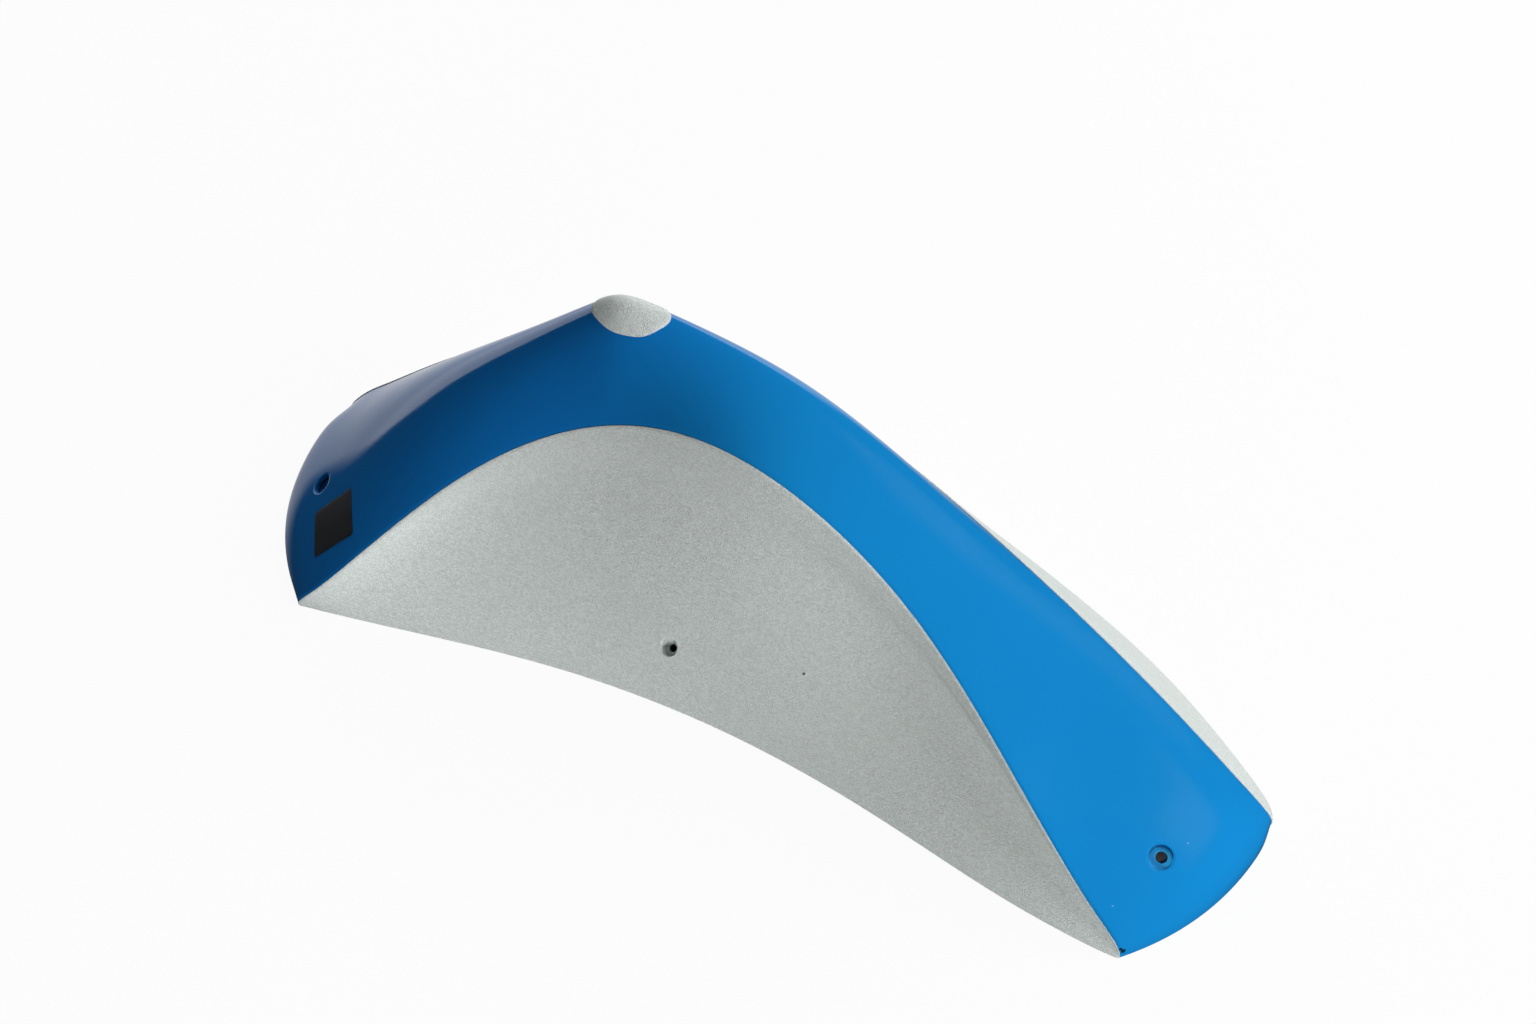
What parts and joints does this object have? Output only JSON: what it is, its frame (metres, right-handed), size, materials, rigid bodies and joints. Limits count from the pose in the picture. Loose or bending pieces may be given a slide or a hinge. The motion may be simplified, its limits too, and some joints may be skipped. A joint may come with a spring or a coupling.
{
  "type": "pinch climbing hold",
  "caption": "Long screw-on pinch hold: a hollow glossy shell with a raised tip, rough grip coats on its steep faces and recessed screw holes, for a climbing wall.",
  "frame": {"origin": "middle of the overall box on the wall plane, which is the open back of the hold", "axes": "+X along the length, with the raised tip towards -X; +Z away from the wall; the steep face with the hollow foot line faces -Y"},
  "size_m": [0.6098, 0.248, 0.1785],
  "materials": {
    "blue_gelcoat": "glossy blue gelcoat over glass-fibre laminate",
    "sand_grip": "rough light grey coat of fine sand in resin",
    "black_film": "satin black film",
    "filled_resin": "dull cast resin with filler",
    "zinc_steel": "zinc-plated steel"
  },
  "bodies": {
    "root": {"shell": "blue_gelcoat", "front_grip_coat": "sand_grip", "back_grip_coat": "sand_grip", "tip_grip_coat": "sand_grip", "blank_label": "black_film", "screw_boss_left": "filled_resin", "screw_boss_right": "filled_resin", "screw_boss_front": "filled_resin", "screw_boss_back": "filled_resin", "screw_washer_left": "zinc_steel", "screw_washer_right": "zinc_steel", "screw_washer_front": "zinc_steel", "screw_washer_back": "zinc_steel"}
  },
  "joints": []
}
